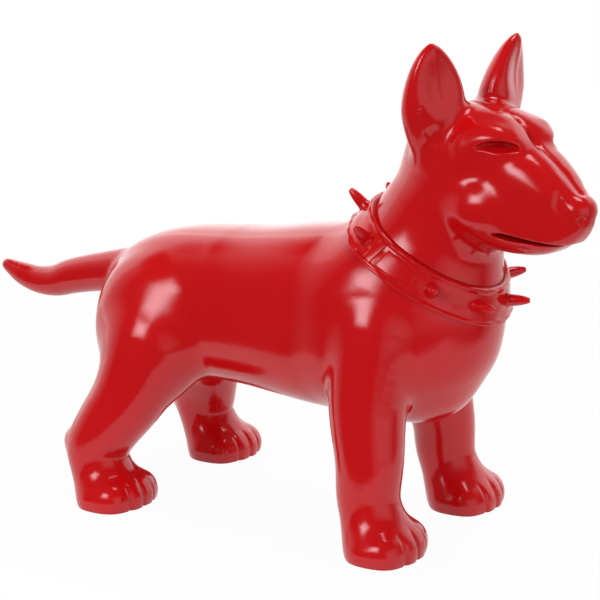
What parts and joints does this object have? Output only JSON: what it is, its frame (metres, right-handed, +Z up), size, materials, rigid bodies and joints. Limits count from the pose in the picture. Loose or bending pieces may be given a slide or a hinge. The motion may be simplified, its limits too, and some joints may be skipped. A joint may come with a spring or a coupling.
{
  "type": "dog statue",
  "caption": "Glossy lacquered statue of a standing bull terrier with upright ears, a straight tail and a spiked collar; rests on its paws as a free-standing ornament.",
  "frame": {"origin": "on the floor, under the middle of the statue's overall box", "axes": "+X towards the nose, +Y to the dog's left, +Z up"},
  "size_m": [0.814, 0.3242, 0.5492],
  "materials": {
    "red_lacquer": "gloss",
    "steel": "plain"
  },
  "bodies": {
    "root": {"torso_left": "red_lacquer", "torso_right": "red_lacquer", "head": "red_lacquer", "ear_left": "red_lacquer", "ear_right": "red_lacquer", "front_leg_left": "red_lacquer", "front_leg_right": "red_lacquer", "hind_leg_left": "red_lacquer", "hind_leg_right": "red_lacquer", "tail": "red_lacquer", "collar_band": "red_lacquer", "collar_keeper": "red_lacquer", "collar_strap_end": "red_lacquer", "spike_01": "red_lacquer", "spike_02": "red_lacquer", "spike_03": "red_lacquer", "spike_04": "red_lacquer", "spike_05": "red_lacquer", "spike_06": "red_lacquer", "spike_07": "red_lacquer", "spike_08": "red_lacquer", "spike_09": "red_lacquer", "ear_pin_left": "steel", "ear_pin_right": "steel"}
  },
  "joints": []
}
